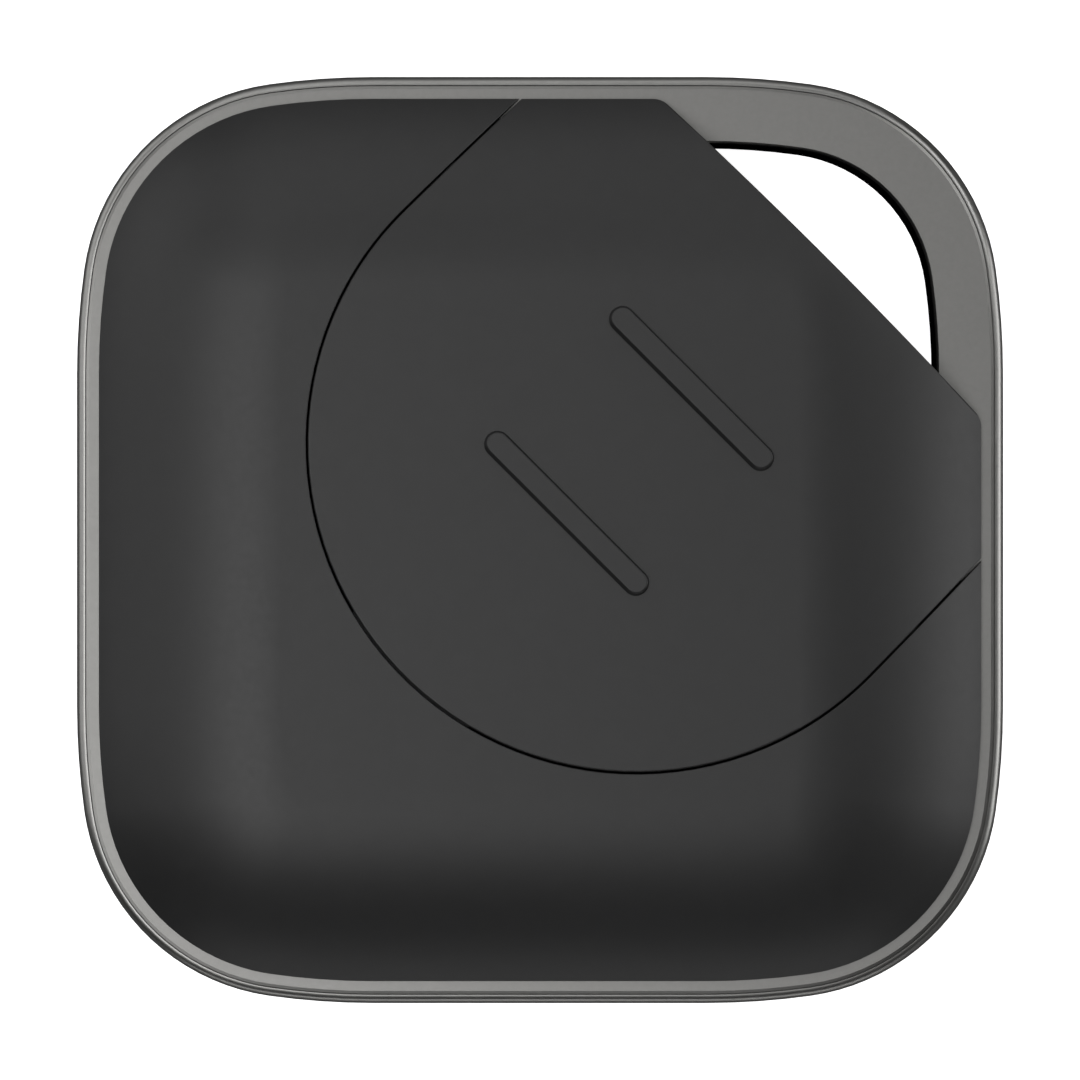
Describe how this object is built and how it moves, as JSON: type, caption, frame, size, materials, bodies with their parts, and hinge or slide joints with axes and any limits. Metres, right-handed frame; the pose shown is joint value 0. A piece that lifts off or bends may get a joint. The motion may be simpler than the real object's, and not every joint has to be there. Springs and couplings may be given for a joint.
{
  "type": "bluetooth tracker tag",
  "caption": "Thin square tracker tag with rounded corners, a metal rim, a key loop through one corner, a sliding battery door with grip ridges and a press button.",
  "frame": {"origin": "middle of the front face, which lies on the surface", "axes": "+Z out of the back, +X and +Y along the sides, with the key loop in the +X +Y corner"},
  "size_m": [0.037, 0.037, 0.0067],
  "materials": {
    "front_black": "gloss black moulding",
    "gunmetal": "warm grey satin anodised",
    "band_metal": "polished warm grey anodised",
    "adhesive_film": "matt",
    "charcoal_plastic": "satin, fine moulded grain",
    "foam": "closed-cell foam",
    "tray_plastic": "matt black moulding",
    "screw_steel": "zinc plated",
    "board": "solder mask",
    "cell_steel": "brushed stainless",
    "cell_seal": "moulded nylon",
    "cell_pellet": "pressed powder",
    "gold_spring": "gold plated",
    "chip_epoxy": "moulded epoxy",
    "crystal_can": "drawn metal lid",
    "antenna_ceramic": "fired ceramic",
    "ferrite": "pressed ferrite",
    "capacitor_ceramic": "fired ceramic",
    "resistor_ceramic": "glazed",
    "piezo_brass": "rolled brass",
    "piezo_ceramic": "silvered ceramic",
    "silicone": "matt silicone",
    "dome_steel": "stamped stainless"
  },
  "bodies": {
    "tag": {"front_cover": "front_black", "frame_band": "band_metal", "loop_plate": "gunmetal", "plate_adhesive": "adhesive_film", "back_housing": "charcoal_plastic", "battery_tray": "tray_plastic", "tray_screws": "screw_steel", "circuit_board": "board", "cell_can": "cell_steel", "cell_cap": "cell_steel", "cell_gasket": "cell_seal", "cell_core": "cell_pellet", "positive_contact": "gold_spring", "negative_contact": "gold_spring", "radio_chip": "chip_epoxy", "main_crystal": "crystal_can", "clock_crystal": "crystal_can", "motion_sensor": "chip_epoxy", "chip_antenna": "antenna_ceramic", "boost_inductor": "ferrite", "buzzer_driver": "chip_epoxy", "bulk_capacitor": "capacitor_ceramic", "capacitors": "capacitor_ceramic", "resistors": "resistor_ceramic", "piezo_disc": "piezo_brass", "piezo_ceramic": "piezo_ceramic", "piezo_adhesive": "adhesive_film", "piezo_contacts": "gold_spring", "button_membrane": "silicone", "snap_dome": "dome_steel"},
    "door": {"battery_door": "charcoal_plastic", "door_pad": "foam"},
    "button": {"front_button": "front_black"}
  },
  "joints": [
    {"name": "door_slide", "type": "slide", "parent": "tag", "child": "door", "axis": [0.7071, 0.7071, 0], "range_m": [0, 0.022]},
    {"name": "button_press", "type": "slide", "parent": "tag", "child": "button", "axis": [0, 0, 1], "range_m": [0, 0.0002], "stiffness_N_per_m": 2000, "deforming": ["snap_dome", "button_membrane"]}
  ]
}
